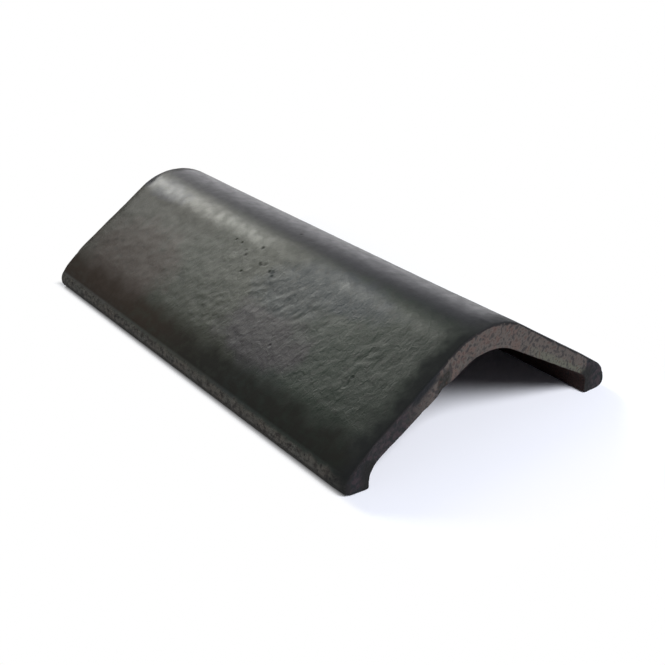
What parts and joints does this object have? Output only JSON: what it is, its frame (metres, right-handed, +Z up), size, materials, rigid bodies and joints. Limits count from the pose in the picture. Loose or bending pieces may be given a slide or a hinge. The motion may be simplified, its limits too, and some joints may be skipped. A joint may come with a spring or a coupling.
{
  "type": "ridge tile",
  "caption": "Angle ridge tile of blackened fired clay: straight wings meet in a rounded crown and end in turned-down heels that bed on mortar; the ends are cut square.",
  "frame": {"origin": "under the middle of the tile, on the level that the heels stand on", "axes": "+X along the ridge, +Y across it towards one heel, +Z up through the crown"},
  "size_m": [0.45, 0.26, 0.0919],
  "materials": {
    "blackened_clay": "fired clay, smoke-blackened in the kiln, with a dull sheen on the upper faces"
  },
  "bodies": {
    "root": {"ridge_tile": "blackened_clay"}
  },
  "joints": []
}
